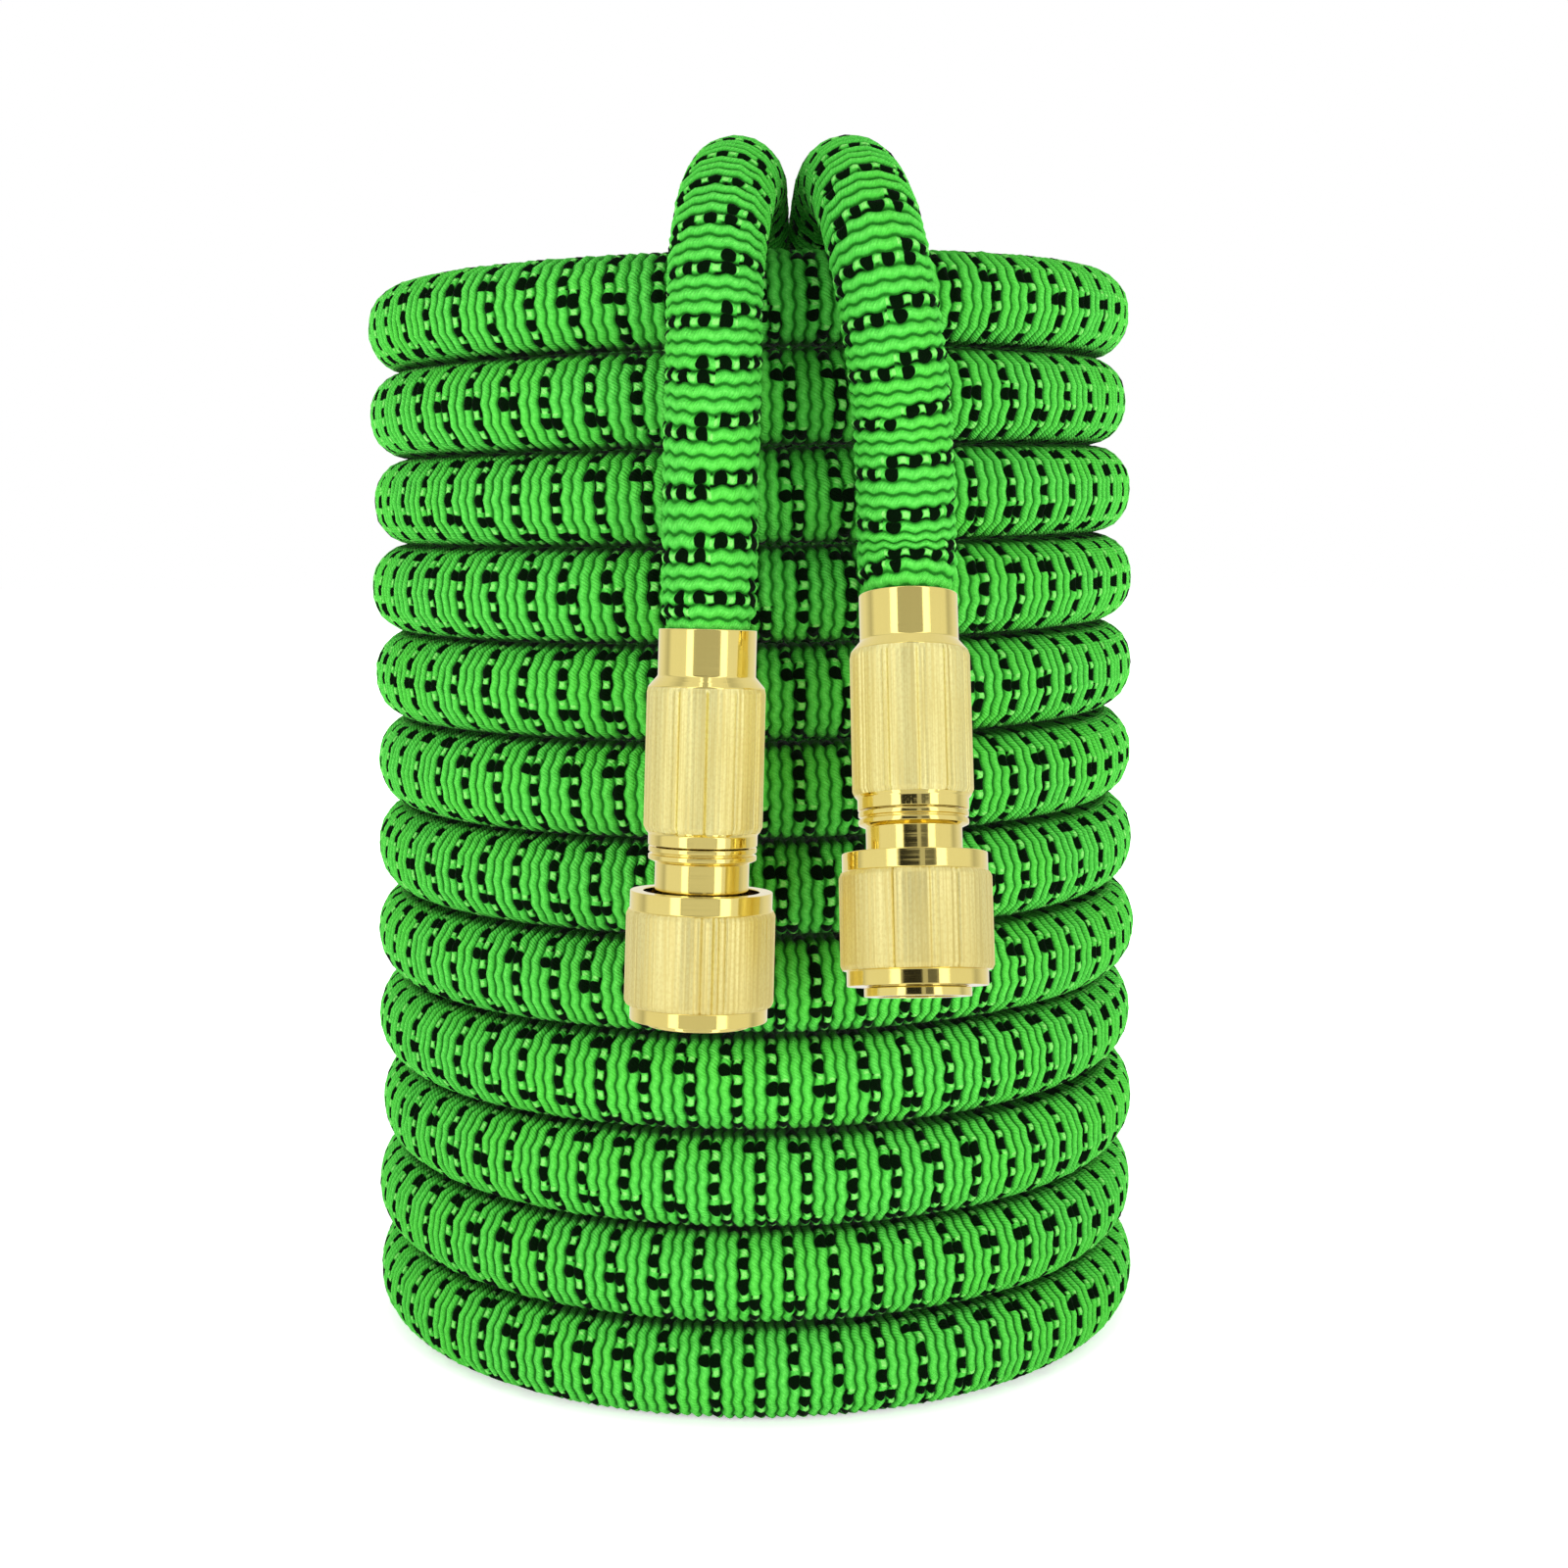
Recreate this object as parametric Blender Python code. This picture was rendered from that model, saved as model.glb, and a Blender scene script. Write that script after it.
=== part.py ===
"""Garden hose wound into a tall coil, with a brass quick connector on each end.

The hose lies in level turns, one on top of another.  Both of its ends come up
inside the coil, arch over the front of the top turn and hang down outside,
each in a clamp nut, a connector body and a lock collar that slides on it.
Metres, +Z up.  The front of the coil faces -Y.
"""

import math

import bmesh
import bpy
import numpy as np
from mathutils import Euler, Matrix, Vector

# Hose and coil
HOSE_DIAMETER = 0.0205
TURNS = 12
COIL_RADIUS = 0.0805            # from the coil's axis to the middle of the hose
SECTION_SIDES = 8               # a turn's section, flat where it lies on the next one
COIL_SEGMENTS = 36
SEAT_GAP = 0.0003               # between pieces that touch
LANE_GAP = 0.0007               # between the faceted coil and the hose that lies along it
TUBE_SPACING = 0.0115           # between the points of a hose end's tube
TUBE_RESOLUTION = 4

# Hose ends inside the clamp nuts
HOSE_NECK_DIAMETER = 0.0166     # where the nut squeezes the hose
HOSE_NECK_TAPER = 0.0035        # length over which the hose narrows above the nut
HOSE_ENTRY = 0.027              # how far the hose goes into the nut

# Brass fitting, lengths along its axis from the top of the clamp nut
FERRULE_DIAMETER = 0.0196
FERRULE_LENGTH = 0.0093
SHOULDER_LENGTH = 0.0024        # cone between ferrule and grip
GRIP_DIAMETER = 0.0240
GRIP_LENGTH = 0.0284
NUT_BAND_DIAMETER = 0.0218
NUT_BAND_LENGTH = 0.0028
THREAD_DIAMETER = 0.0180        # the connector body's end inside the nut
THREAD_LENGTH = 0.0135
BODY_BAND_DIAMETER = 0.0216
BODY_BAND_LENGTH = 0.0010
GROOVE_DEPTH = 0.0006
GROOVE_LENGTH = 0.0005
NECK_DIAMETER = 0.0188
LEFT_NECK_LENGTH = 0.0063       # bare neck above the lock collar
RIGHT_NECK_LENGTH = 0.0056
COLLAR_RIM_DIAMETER = 0.0284
COLLAR_RIM_LENGTH = 0.0036
COLLAR_GRIP_DIAMETER = 0.0300
COLLAR_GRIP_LENGTH = 0.0190
COLLAR_FOOT_DIAMETER = 0.0274
COLLAR_FOOT_LENGTH = 0.0029
COLLAR_RECESS_DIAMETER = 0.0232  # dark ring round the neck in the collar's top
COLLAR_RECESS_DEPTH = 0.0050
COLLAR_CLEARANCE = 0.0005       # between the collar's bore and the body it slides on
NOSE_DIAMETER = 0.0208          # lip that keeps the collar on the body
LEFT_NOSE_LENGTH = 0.0008       # how far the lip stands out below the collar
RIGHT_NOSE_LENGTH = 0.0017
SOCKET_DIAMETER = 0.0160
SOCKET_DEPTH = 0.0240
WATERWAY_DIAMETER = 0.0090
EDGE = 0.0008                   # chamfer on the fittings' rims
THIN_EDGE = 0.0004              # the same on thin walls
FITTING_SEGMENTS = 24

# How the two ends hang, right being +X
LEFT_HANG_X = -0.0094
LEFT_HANG_DROP = 3.30           # hose diameters from the top turn's middle to the nut
LEFT_STAND_OFF = 0.0016         # nut's extra distance from the turns
LEFT_SIDE_LEAN = math.radians(1.4)
LEAN_GAP = 0.0007               # between the turns and the left collar that leans on them
RIGHT_HANG_X = 0.0305
RIGHT_HANG_DROP = 2.965
RIGHT_STAND_OFF = 0.0026
RIGHT_TILT = math.radians(14.0)
RIGHT_SIDE_LEAN = math.radians(-0.7)

# Sizes that follow
HOSE_RADIUS = HOSE_DIAMETER / 2
TOP_TURN = (TURNS - 0.5) * HOSE_DIAMETER
LANE_RADIUS = COIL_RADIUS - HOSE_DIAMETER - LANE_GAP
LANE_HEIGHT = HOSE_RADIUS + SEAT_GAP
NUT_LENGTH = FERRULE_LENGTH + SHOULDER_LENGTH + GRIP_LENGTH + NUT_BAND_LENGTH
NECK_START = NUT_LENGTH + SEAT_GAP + 2 * BODY_BAND_LENGTH + GROOVE_LENGTH
COLLAR_LENGTH = COLLAR_RIM_LENGTH + COLLAR_GRIP_LENGTH + COLLAR_FOOT_LENGTH
COLLAR_BORE_DIAMETER = NECK_DIAMETER + 2 * COLLAR_CLEARANCE
LEFT_TILT = math.asin(
    (COLLAR_GRIP_DIAMETER / 2 + LEAN_GAP - HOSE_RADIUS - LEFT_STAND_OFF)
    / (NECK_START + LEFT_NECK_LENGTH + COLLAR_RIM_LENGTH))

# Points of the hose ends, in hose diameters.  x is from the coil's axis, y and z are
# from the middle of the top turn at the front of the coil.
LEFT_ARCH = (
    (-0.424, -1.045, -1.60),
    (-0.402, -1.180, -0.69),
    (-0.366, -1.000, 0.40),
    (-0.283, -0.410, 0.98),
    (-0.205, 0.395, 1.20),
    (-0.176, 1.420, 0.92),
    (-0.170, 2.150, 0.20),
    (-0.180, 2.430, -0.85),
    (-0.180, 2.200, -2.20),
    (-0.160, 1.740, -4.20),
    (-0.110, 1.310, -6.20),
)
# The left end's turn onto the floor, as (degrees round the coil, height of its middle)
LEFT_LANDING = (
    (269.0, 0.0570),
    (262.5, 0.0335),
    (247.5, 0.0168),
)
LEFT_LANE_START = 226.0
LEFT_LANE_END = 126.0
LANE_STEP = 20.0
# The right end, from where it leaves the top turn at the back
RIGHT_START_ANGLE = 115.0
RIGHT_ARCH = (
    (-0.440, 6.760, -0.05),
    (0.366, 6.610, -0.25),
    (0.990, 6.170, -0.58),
    (1.395, 5.530, -0.96),
    (1.522, 4.800, -1.30),
    (1.444, 4.120, -1.49),
    (1.268, 3.480, -1.44),
    (1.073, 2.850, -1.03),
    (0.910, 2.400, -0.33),
    (0.860, 2.065, 0.315),
    (0.892, 1.420, 0.92),
    (0.956, 0.395, 1.20),
    (1.050, -0.410, 0.98),
    (1.190, -1.000, 0.40),
    (1.346, -1.180, -0.52),
    (1.434, -1.110, -1.35),
    (1.468, -1.045, -2.08),
)

HOSE_GREEN = (0.060, 0.560, 0.055, 1.0)
BRASS_GOLD = (0.800, 0.600, 0.300, 1.0)


def clear_scene():
    for thing in list(bpy.data.objects):
        bpy.data.objects.remove(thing, do_unlink=True)


def material(name, colour, metallic, roughness):
    made = bpy.data.materials.new(name)
    made.use_nodes = True
    shader = made.node_tree.nodes["Principled BSDF"]
    shader.inputs["Base Color"].default_value = colour
    shader.inputs["Metallic"].default_value = metallic
    shader.inputs["Roughness"].default_value = roughness
    made.diffuse_color = colour
    return made


def link(thing, parent, finish=None):
    bpy.context.scene.collection.objects.link(thing)
    thing.parent = parent
    if finish is not None:
        thing.data.materials.append(finish)
    return thing


def empty(name, parent=None):
    return link(bpy.data.objects.new(name, None), parent)


def turned(name, section, segments, parent, finish):
    """A ring: a closed section of (radius, height) points turned about Z."""
    bm = bmesh.new()
    corners = [bm.verts.new((radius, 0, height)) for radius, height in section]
    sides = [bm.edges.new((corners[i - 1], corners[i])) for i in range(len(corners))]
    bmesh.ops.spin(bm, geom=corners + sides, cent=(0, 0, 0), axis=(0, 0, 1),
                   angle=math.tau, steps=segments, use_merge=True)
    bmesh.ops.remove_doubles(bm, verts=bm.verts, dist=1e-6)
    bmesh.ops.recalc_face_normals(bm, faces=bm.faces)
    mesh = bpy.data.meshes.new(name)
    bm.to_mesh(mesh)
    bm.free()
    mesh.shade_smooth()
    mesh.set_sharp_from_angle(angle=math.radians(40))
    return link(bpy.data.objects.new(name, mesh), parent, finish)


def coil_section():
    """Outline of the stacked turns, down the outer side and up the inner side."""
    step = math.tau / SECTION_SIDES
    reach = HOSE_RADIUS / math.cos(step / 2)
    corners_each_side = SECTION_SIDES // 2
    outline = []
    for side in (1, -1):
        stack = range(TURNS - 1, -1, -1) if side == 1 else range(TURNS)
        for turn in stack:
            middle = (turn + 0.5) * HOSE_DIAMETER
            last = 0 if turn == (0 if side == 1 else TURNS - 1) else 1
            for corner in range(corners_each_side - last):
                angle = math.pi / 2 - step * (corner + 0.5)
                outline.append((COIL_RADIUS + side * reach * math.cos(angle),
                                middle + side * reach * math.sin(angle)))
    return outline


def smooth_curve(points, samples=24):
    """Points close together on a curve that bends evenly through the given ones."""
    points = np.array([tuple(point) for point in points])
    spans = np.linalg.norm(np.diff(points, axis=0), axis=1)
    count = len(points)
    system = np.eye(count)
    pull = np.zeros((count, 3))
    for i in range(1, count - 1):
        system[i, i - 1:i + 2] = (spans[i - 1], 2 * (spans[i - 1] + spans[i]), spans[i])
        pull[i] = 6 * ((points[i + 1] - points[i]) / spans[i]
                       - (points[i] - points[i - 1]) / spans[i - 1])
    bend = np.linalg.solve(system, pull)
    dense = [points[0]]
    for i, span in enumerate(spans):
        for t in np.linspace(0, 1, samples + 1)[1:]:
            s = 1 - t
            dense.append(s * points[i] + t * points[i + 1]
                         + span ** 2 / 6 * ((s ** 3 - s) * bend[i] + (t ** 3 - t) * bend[i + 1]))
    return np.array(dense)


def hose_tube(name, points, parent, finish):
    """A hose end, whose first point is the end inside its clamp nut."""
    dense = smooth_curve(points)
    along = np.concatenate([[0], np.cumsum(np.linalg.norm(np.diff(dense, axis=0), axis=1))])
    neck_end = HOSE_ENTRY + SEAT_GAP
    full_start = neck_end + HOSE_NECK_TAPER
    steps = math.ceil((along[-1] - full_start) / TUBE_SPACING)
    stops = [0, neck_end / 2, neck_end, *np.linspace(full_start, along[-1], steps + 1)]

    curve = bpy.data.curves.new(name, "CURVE")
    curve.dimensions = "3D"
    curve.bevel_depth = HOSE_RADIUS
    curve.bevel_resolution = TUBE_RESOLUTION
    curve.use_fill_caps = True
    spline = curve.splines.new("POLY")
    spline.points.add(len(stops) - 1)
    for point, stop in zip(spline.points, stops):
        place = [np.interp(stop, along, dense[:, axis]) for axis in range(3)]
        point.co = (*place, 1)
        point.radius = 1 if stop >= full_start else HOSE_NECK_DIAMETER / HOSE_DIAMETER
    spline.use_smooth = True
    return link(bpy.data.objects.new(name, curve), parent, finish)


def nut_section():
    bore = HOSE_NECK_DIAMETER / 2 + SEAT_GAP
    thread_bore = THREAD_DIAMETER / 2 + SEAT_GAP
    shoulder = FERRULE_LENGTH + SHOULDER_LENGTH
    grip_end = shoulder + GRIP_LENGTH
    thread_start = NUT_LENGTH - THREAD_LENGTH - SEAT_GAP
    return [
        (bore, -THIN_EDGE), (bore + THIN_EDGE, 0),
        (FERRULE_DIAMETER / 2 - THIN_EDGE, 0), (FERRULE_DIAMETER / 2, -THIN_EDGE),
        (FERRULE_DIAMETER / 2, -FERRULE_LENGTH),
        (GRIP_DIAMETER / 2, -shoulder),
        (GRIP_DIAMETER / 2, -grip_end),
        (NUT_BAND_DIAMETER / 2, -grip_end - EDGE),
        (NUT_BAND_DIAMETER / 2, -NUT_LENGTH),
        (thread_bore, -NUT_LENGTH), (thread_bore, -thread_start), (bore, -thread_start),
    ]


def body_section(neck_length, nose_length):
    top = NUT_LENGTH + SEAT_GAP
    band = BODY_BAND_DIAMETER / 2
    nose_start = NECK_START + neck_length + COLLAR_LENGTH + SEAT_GAP
    end = nose_start + nose_length
    socket_end = end - SOCKET_DEPTH
    waterway = WATERWAY_DIAMETER / 2
    cone = (SOCKET_DIAMETER - WATERWAY_DIAMETER) / 2
    return [
        (waterway, -NUT_LENGTH + THREAD_LENGTH),
        (THREAD_DIAMETER / 2, -NUT_LENGTH + THREAD_LENGTH),
        (THREAD_DIAMETER / 2, -top),
        (band, -top),
        (band, -top - BODY_BAND_LENGTH),
        (band - GROOVE_DEPTH, -top - BODY_BAND_LENGTH),
        (band - GROOVE_DEPTH, -top - BODY_BAND_LENGTH - GROOVE_LENGTH),
        (band, -top - BODY_BAND_LENGTH - GROOVE_LENGTH),
        (band, -NECK_START),
        (NECK_DIAMETER / 2, -NECK_START - EDGE),
        (NECK_DIAMETER / 2, -nose_start),
        (NOSE_DIAMETER / 2, -nose_start),
        (NOSE_DIAMETER / 2, -end + THIN_EDGE),
        (NOSE_DIAMETER / 2 - THIN_EDGE, -end),
        (SOCKET_DIAMETER / 2, -end),
        (SOCKET_DIAMETER / 2, -socket_end),
        (waterway, -socket_end + cone),
    ]


def collar_section(neck_length):
    bore = COLLAR_BORE_DIAMETER / 2
    recess = COLLAR_RECESS_DIAMETER / 2
    rim = COLLAR_RIM_DIAMETER / 2
    grip = COLLAR_GRIP_DIAMETER / 2
    foot = COLLAR_FOOT_DIAMETER / 2
    start = NECK_START + neck_length
    grip_start = start + COLLAR_RIM_LENGTH
    grip_end = grip_start + COLLAR_GRIP_LENGTH
    end = start + COLLAR_LENGTH
    return [
        (recess, -start), (rim - EDGE, -start), (rim, -start - EDGE),
        (rim, -grip_start), (grip - THIN_EDGE, -grip_start),
        (grip, -grip_start - EDGE), (grip, -grip_end + EDGE),
        (grip - THIN_EDGE, -grip_end), (foot, -grip_end),
        (foot, -end + EDGE), (foot - EDGE, -end),
        (bore, -end), (bore, -start - COLLAR_RECESS_DEPTH),
        (recess, -start - COLLAR_RECESS_DEPTH),
    ]


def fitting(side, place, turn, neck_length, nose_length, parent, finish):
    """Clamp nut, connector body and lock collar on one axis, which is its frame's Z."""
    frame = empty(side + "_fitting", parent)
    frame.location = place
    frame.rotation_euler = turn
    turned(side + "_clamp_nut", nut_section(), FITTING_SEGMENTS, frame, finish)
    turned(side + "_connector_body", body_section(neck_length, nose_length),
           FITTING_SEGMENTS, frame, finish)
    turned(side + "_lock_collar", collar_section(neck_length), FITTING_SEGMENTS, frame, finish)
    return Matrix.Translation(place) @ Euler(turn).to_matrix().to_4x4()


def route_points(offsets):
    """Points given in hose diameters from the front of the top turn."""
    return [Vector((x * HOSE_DIAMETER, y * HOSE_DIAMETER - COIL_RADIUS,
                    z * HOSE_DIAMETER + TOP_TURN)) for x, y, z in offsets]


def lane_point(degrees, height):
    """A point on the lane along the coil's inner wall."""
    angle = math.radians(degrees)
    return Vector((LANE_RADIUS * math.cos(angle), LANE_RADIUS * math.sin(angle), height))


def nut_points(pose):
    """The straight start of a hose end, from inside its nut to just above it."""
    return [pose @ Vector((0, 0, -HOSE_ENTRY)), pose @ Vector((0, 0, -HOSE_ENTRY / 2)),
            pose @ Vector((0, 0, 0)), pose @ Vector((0, 0, HOSE_RADIUS))]


def left_route(pose):
    landing = [lane_point(degrees, height) for degrees, height in LEFT_LANDING]
    steps = round((LEFT_LANE_START - LEFT_LANE_END) / LANE_STEP)
    lane = [lane_point(LEFT_LANE_START - i * LANE_STEP, LANE_HEIGHT) for i in range(steps + 1)]
    return nut_points(pose) + route_points(LEFT_ARCH) + landing + lane


def right_route(pose):
    start = lane_point(RIGHT_START_ANGLE, TOP_TURN)
    return nut_points(pose) + route_points(RIGHT_ARCH)[::-1] + [start]


def stand_on_origin(frame):
    """Move everything so that the middle of its bounding box's base is the origin."""
    bpy.context.view_layer.update()
    graph = bpy.context.evaluated_depsgraph_get()
    corners = []
    for piece in frame.children_recursive:
        if piece.type in {"MESH", "CURVE"}:
            shown = piece.evaluated_get(graph)
            corners += [shown.matrix_world @ v.co for v in shown.to_mesh().vertices]
            shown.to_mesh_clear()
    low = [min(corner[axis] for corner in corners) for axis in range(3)]
    high = [max(corner[axis] for corner in corners) for axis in range(3)]
    frame.location = (-(low[0] + high[0]) / 2, -(low[1] + high[1]) / 2, -low[2])
    bpy.context.view_layer.update()


def build():
    clear_scene()
    jacket = material("green_woven_jacket", HOSE_GREEN, 0.0, 0.75)
    brass = material("brushed_brass", BRASS_GOLD, 1.0, 0.28)
    hose = empty("garden_hose")

    turned("hose_coil", coil_section(), COIL_SEGMENTS, hose, jacket)
    left_place = Vector((LEFT_HANG_X, -COIL_RADIUS - HOSE_DIAMETER - LEFT_STAND_OFF,
                         TOP_TURN - LEFT_HANG_DROP * HOSE_DIAMETER))
    right_place = Vector((RIGHT_HANG_X, -COIL_RADIUS - HOSE_DIAMETER - RIGHT_STAND_OFF,
                          TOP_TURN - RIGHT_HANG_DROP * HOSE_DIAMETER))
    left_pose = fitting("left", left_place, (-LEFT_TILT, LEFT_SIDE_LEAN, 0),
                        LEFT_NECK_LENGTH, LEFT_NOSE_LENGTH, hose, brass)
    right_pose = fitting("right", right_place, (-RIGHT_TILT, RIGHT_SIDE_LEAN, 0),
                         RIGHT_NECK_LENGTH, RIGHT_NOSE_LENGTH, hose, brass)
    hose_tube("hose_end_left", left_route(left_pose), hose, jacket)
    hose_tube("hose_end_right", right_route(right_pose), hose, jacket)
    stand_on_origin(hose)


build()
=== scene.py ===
"""Looks of a garden hose wound into a tall coil, with a brass quick connector on each end.

Metres, +Z up, the front towards -Y.  The hose is one route from the left connector
to the right one.  It is covered with a ribbed woven jacket, cut into pieces where
one rib meets the next.
"""

import math

import bpy
import numpy as np
from mathutils import Euler, Matrix, Vector

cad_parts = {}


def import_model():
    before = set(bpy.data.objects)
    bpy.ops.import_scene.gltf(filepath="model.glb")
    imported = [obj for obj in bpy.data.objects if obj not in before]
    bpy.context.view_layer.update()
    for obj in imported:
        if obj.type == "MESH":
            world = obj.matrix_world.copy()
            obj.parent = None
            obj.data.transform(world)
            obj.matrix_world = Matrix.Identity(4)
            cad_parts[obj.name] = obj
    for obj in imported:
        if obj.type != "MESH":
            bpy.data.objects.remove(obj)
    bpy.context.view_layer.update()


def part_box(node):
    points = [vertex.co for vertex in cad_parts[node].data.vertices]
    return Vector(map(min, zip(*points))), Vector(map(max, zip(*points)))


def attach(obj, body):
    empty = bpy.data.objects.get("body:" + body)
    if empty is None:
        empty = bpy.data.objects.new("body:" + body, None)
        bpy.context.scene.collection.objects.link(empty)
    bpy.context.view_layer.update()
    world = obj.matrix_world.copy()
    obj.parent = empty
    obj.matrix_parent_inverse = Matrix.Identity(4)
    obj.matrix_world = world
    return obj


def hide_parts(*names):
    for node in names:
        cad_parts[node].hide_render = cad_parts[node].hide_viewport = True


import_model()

# Hose and coil
HOSE_DIAMETER = 0.0205
HOSE_RADIUS = HOSE_DIAMETER / 2
TURNS = 12
COIL_RADIUS = 0.0805
TOP_TURN = (TURNS - 0.5) * HOSE_DIAMETER
LANE_RADIUS = 0.0593            # the hose's way along the coil's inner wall
LANE_HEIGHT = 0.01055
NECK_DIAMETER = 0.0166          # inside a clamp nut
NECK_TAPER = 0.0035             # length over which the jacket widens outside a nut
HOSE_ENTRY = 0.027              # how far the hose goes into a nut
FLOOR_GAP = 0.0001              # under the lowest ribs
CURVE_SAMPLES = 24              # of the middle line, from one of its points to the next

# Where the coil's turns step up, behind on the left, in degrees round the coil
STEP_START = 165.0
STEP_END = 95.0
MERGE_START = 120.0             # the left end joins the lowest turn
MERGE_END = 45.0
LEAVE_START = 180.0             # the right end leaves the top turn
LEAVE_END = 115.0
COIL_STEP = 10.0                # from one point of the coil to the next

# The stack isn't quite true: it leans to the left and its top dips on that side
STACK_LEAN = -0.0159
TOP_TILT = 0.00195              # at the coil's side
TURN_WANDER = 0.00035

# Poses of the two fittings: the middle of the nut's top, coil's axis at x = y = 0
LEFT_PLACE = (-0.0094, -0.1026, 0.1681)
LEFT_TURN = (math.radians(-3.971), math.radians(1.4), 0)
RIGHT_PLACE = (0.0305, -0.1036, 0.174967)
RIGHT_TURN = (math.radians(-14.0), math.radians(-0.7), 0)

# Route of the left end from its nut: over the front, down inside and onto the floor
LEFT_ARCH = (
    (-0.00869, -0.10192, 0.20295), (-0.00824, -0.10469, 0.22161),
    (-0.00740, -0.10100, 0.24395), (-0.00550, -0.08891, 0.25584),
    (-0.00360, -0.07240, 0.26035), (-0.00280, -0.05139, 0.25461),
    (-0.00260, -0.03643, 0.23985), (-0.00310, -0.03069, 0.21833),
    (-0.00350, -0.03540, 0.19065), (-0.00328, -0.04483, 0.14965),
    (-0.00226, -0.05365, 0.10865),
)
LEFT_LANDING = ((269.0, 0.0570), (262.5, 0.0335), (247.5, 0.0168))   # degrees, height
LEFT_LANE = (226.0, 206.0, 186.0, 166.0, 146.0, 126.0)
# Route of the right end from the top turn to its nut: it sags across the coil first
RIGHT_ARCH = (
    (-0.00902, 0.05808, 0.23473), (0.00750, 0.05501, 0.23063),
    (0.02030, 0.04599, 0.22386), (0.02860, 0.03287, 0.21607),
    (0.03120, 0.01790, 0.20910), (0.02960, 0.00396, 0.20521),
    (0.02599, -0.00916, 0.20623), (0.02200, -0.02208, 0.21464),
    (0.01830, -0.03130, 0.22899), (0.01700, -0.03817, 0.24221),
    (0.01760, -0.05139, 0.25461), (0.01920, -0.07240, 0.26035),
    (0.02153, -0.08891, 0.25584), (0.02440, -0.10100, 0.24395),
    (0.02759, -0.10469, 0.22509), (0.02940, -0.10326, 0.20808),
    (0.03009, -0.10192, 0.19311),
)

# Jacket: ribs round the hose, each a wavy yarn
WAVES = 14                      # of a rib, once round the hose
SIDES = 2 * WAVES               # one side up and one down for each wave
RIB_PROFILE = ((0.0, -1.0), (0.25, -0.28), (0.5, 0.0), (0.75, -0.28))   # place, height
RIB_DEPTH = 0.00078
RIB_DEPTHS = (0.85, 1.15)       # least and most, as shares of RIB_DEPTH
RIB_WAVE = 0.125                # of a rib's pitch
RIB_WAVES = (0.75, 1.25)        # least and most, as shares of RIB_WAVE
RIB_PUFF = 0.00007              # how unevenly a rib stands out
LOW_PITCH = 0.00210             # of the lowest turn's ribs, on the hose's middle line
HIGH_PITCH = 0.00240            # of the top turn's
# Pitch where the hose isn't coiled and hangs stretched: distance from the hose's end, pitch
LEFT_PITCHES = ((0, 0.0026), (0.038, 0.0027), (0.046, 0.0034), (0.058, 0.0033),
                (0.068, 0.0029), (0.078, 0.0025), (0.090, 0.0022), (0.105, 0.0020),
                (0.180, 0.0021))
RIGHT_PITCHES = ((0.170, 0.0023), (0.120, 0.0022), (0.060, 0.0025), (0.042, 0.0025),
                 (0.035, 0.0031), (0.028, 0.0026), (0, 0.0024))
PITCH_STEP = 0.0005             # along the hose, where the ribs are counted
PITCH_SLACK = 0.10              # of the least pitch, by which a rib may be out of place
# Thickness of the hanging ends, as a share of the coil's
LEFT_THICKNESS = 0.955
LEFT_THICKENS = (0.100, 0.160)  # from and to this distance from the hose's end
RIGHT_THICKNESS = 0.985
RIGHT_THICKENS = (0.130, 0.99)  # distance from the hose's end, thickness there
SQUARENESS = 2.2                # of the section on the coil; 2 is round
COIL_EASE = 0.05                # length over which the section changes
COIL_PIECES = 4
SEED = 7

# Jacket's pattern, with painted highlights on the ribs' crests and painted shade in their valleys
# and where turns touch
WAVE_ROUNDING = 0.8             # of the wave's height, where it is drawn as a smooth line
BAND_RIBS = 4                   # ribs from one row of black blocks to the next
ROW_SHIFTS = 4                  # ribs that a row moves on by, once round the hose
ROW_DRIFT = 0.07                # waves by which these places move round, for each rib
BLOCK_WIDTHS = (0.255, 0.365)   # half of a block's, in waves
BLOCK_LENGTH = 0.53             # half of a block's, in ribs
# Painted shade on the coil where two turns touch
GAP_SHADE = (0.70, 1.35)        # waves from where two turns touch: darkest, and out of it
GAP_DARKNESS = 0.80
FIBRE_BUMP = 0.00028
BLACK = (0.001, 0.005, 0.001, 1)
RIB_GREEN = (0.048, 0.38, 0.038, 1)
# Painted highlight on the ribs' crests
CREST_HIGHLIGHT_GREEN = (0.110, 0.57, 0.081, 1)
CLOUD_GREEN = (0.070, 0.50, 0.030, 1)
STITCH_GREEN = (0.27, 0.66, 0.17, 1)
# Painted shade in the valleys between ribs
VALLEY_SHADE_GREEN = (0.011, 0.125, 0.009, 1)

# Fitting, lengths along its axis from the nut's top
FERRULE_RADIUS = 0.0098
FERRULE_LENGTH = 0.0093
SHOULDER_LENGTH = 0.0024
NUT_GRIP_RADIUS = 0.0120
NUT_GRIP_LENGTH = 0.0284
NUT_BAND_RADIUS = 0.0109
NUT_BAND_LENGTH = 0.0028
BODY_BAND_RADIUS = 0.0108
BODY_BAND_LENGTH = 0.0010
GROOVE_DEPTH = 0.0006
GROOVE_LENGTH = 0.0005
NECK_RADIUS = 0.0094
NECK_STEP = 0.0006              # length of the cone from the band down to the neck
RIM_RADIUS = 0.0142
RIM_LENGTH = 0.0036
GRIP_RADIUS = 0.0150
GRIP_LENGTH = 0.0190
FOOT_RADIUS = 0.0137
FOOT_LENGTH = 0.0029
RECESS_RADIUS = 0.0116
RECESS_DEPTH = 0.0050
CLEARANCE = 0.0005
SEAT_GAP = 0.0003
THREAD_RADIUS = 0.0090
THREAD_LENGTH = 0.0135
NOSE_RADIUS = 0.0104
SOCKET_RADIUS = 0.0080
SOCKET_DEPTH = 0.0240
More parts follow.
